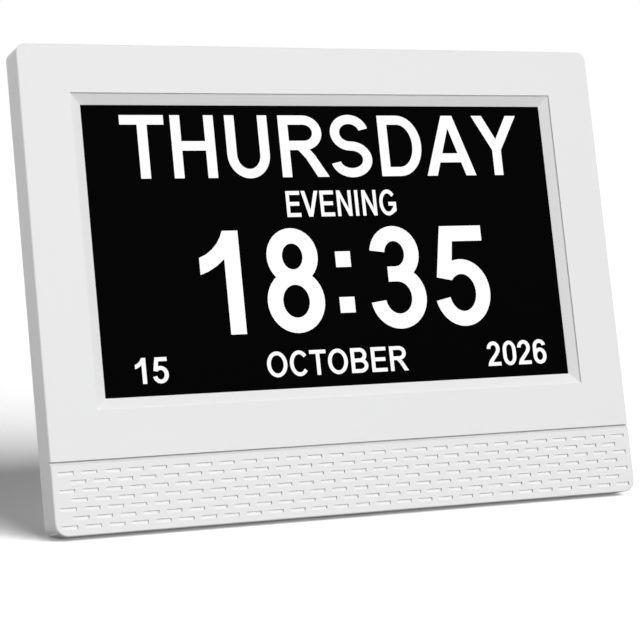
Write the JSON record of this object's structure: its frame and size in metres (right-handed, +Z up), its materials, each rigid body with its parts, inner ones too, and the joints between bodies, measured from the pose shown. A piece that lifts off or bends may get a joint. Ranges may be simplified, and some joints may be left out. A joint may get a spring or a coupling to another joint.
{
  "type": "day clock",
  "caption": "Leaning landscape day clock with a black display in a bevelled window, a slotted lower band, back push buttons and a folding leg.",
  "frame": {"origin": "on the table, under the middle of the clock's box", "axes": "+Z up, the display looks towards -Y leaning back by 13.67 degrees, +X to the viewer's right"},
  "size_m": [0.1914, 0.0578, 0.1405],
  "materials": {
    "housing": "fine satin moulding",
    "cover": "fine spark texture",
    "leg": "fine spark texture",
    "button": "satin",
    "display": "anti-glare film",
    "tray": "rolled",
    "sheet": "matt film",
    "light_guide": "clear",
    "led": "matt",
    "ribbon": "smooth film",
    "board": "solder mask",
    "chip": "moulded",
    "can": "drawn",
    "cell": "brushed",
    "socket": "moulded",
    "screw": "nickel plated",
    "basket": "moulded",
    "cone": "paper",
    "magnet": "plated",
    "pin": "ground",
    "boot": "matt"
  },
  "bodies": {
    "clock": {"front_shell": "housing", "grille_panel": "housing", "rear_cover": "cover", "cover_screws": "screw", "lcd_glass": "display", "lcd_frame": "tray", "diffuser_sheet": "sheet", "light_guide": "light_guide", "reflector_sheet": "sheet", "led_strip": "led", "display_ribbon": "ribbon", "ribbon_connector": "chip", "display_brackets": "tray", "bracket_screws": "screw", "main_board": "board", "board_screws": "screw", "processor_chip": "chip", "memory_chip": "chip", "amplifier_chip": "chip", "crystal": "can", "inductor": "chip", "capacitors": "can", "coin_cell_holder": "chip", "coin_cell": "cell", "dc_jack": "socket", "card_socket": "can", "tact_switches": "socket", "speaker_frame": "basket", "speaker_cone": "cone", "speaker_magnet": "magnet", "leg_pin": "pin"},
    "leg": {"stand_leg": "leg", "leg_pad": "boot"},
    "button_exit": {"button_exit": "button"},
    "button_right": {"button_right": "button"},
    "button_left": {"button_left": "button"},
    "button_down": {"button_down": "button"},
    "button_up": {"button_up": "button"},
    "button_menu": {"button_menu": "button"},
    "button_power": {"button_power": "button"}
  },
  "joints": [
    {"name": "leg_fold", "type": "hinge", "parent": "clock", "child": "leg", "pos_m": [0, 0.00707, 0.07726], "axis": [-1, 0, 0], "range_deg": [0, 27.5]},
    {"name": "press_exit", "type": "slide", "parent": "clock", "child": "button_exit", "axis": [0, -0.9717, 0.2363], "range_m": [0, 0.0005], "stiffness_N_per_m": 1500, "springref_m": -0.0002},
    {"name": "press_right", "type": "slide", "parent": "clock", "child": "button_right", "axis": [0, -0.9717, 0.2363], "range_m": [0, 0.0005], "stiffness_N_per_m": 1500, "springref_m": -0.0002},
    {"name": "press_left", "type": "slide", "parent": "clock", "child": "button_left", "axis": [0, -0.9717, 0.2363], "range_m": [0, 0.0005], "stiffness_N_per_m": 1500, "springref_m": -0.0002},
    {"name": "press_down", "type": "slide", "parent": "clock", "child": "button_down", "axis": [0, -0.9717, 0.2363], "range_m": [0, 0.0005], "stiffness_N_per_m": 1500, "springref_m": -0.0002},
    {"name": "press_up", "type": "slide", "parent": "clock", "child": "button_up", "axis": [0, -0.9717, 0.2363], "range_m": [0, 0.0005], "stiffness_N_per_m": 1500, "springref_m": -0.0002},
    {"name": "press_menu", "type": "slide", "parent": "clock", "child": "button_menu", "axis": [0, -0.9717, 0.2363], "range_m": [0, 0.0005], "stiffness_N_per_m": 1500, "springref_m": -0.0002},
    {"name": "press_power", "type": "slide", "parent": "clock", "child": "button_power", "axis": [0, -0.9717, 0.2363], "range_m": [0, 0.0005], "stiffness_N_per_m": 1500, "springref_m": -0.0002}
  ]
}
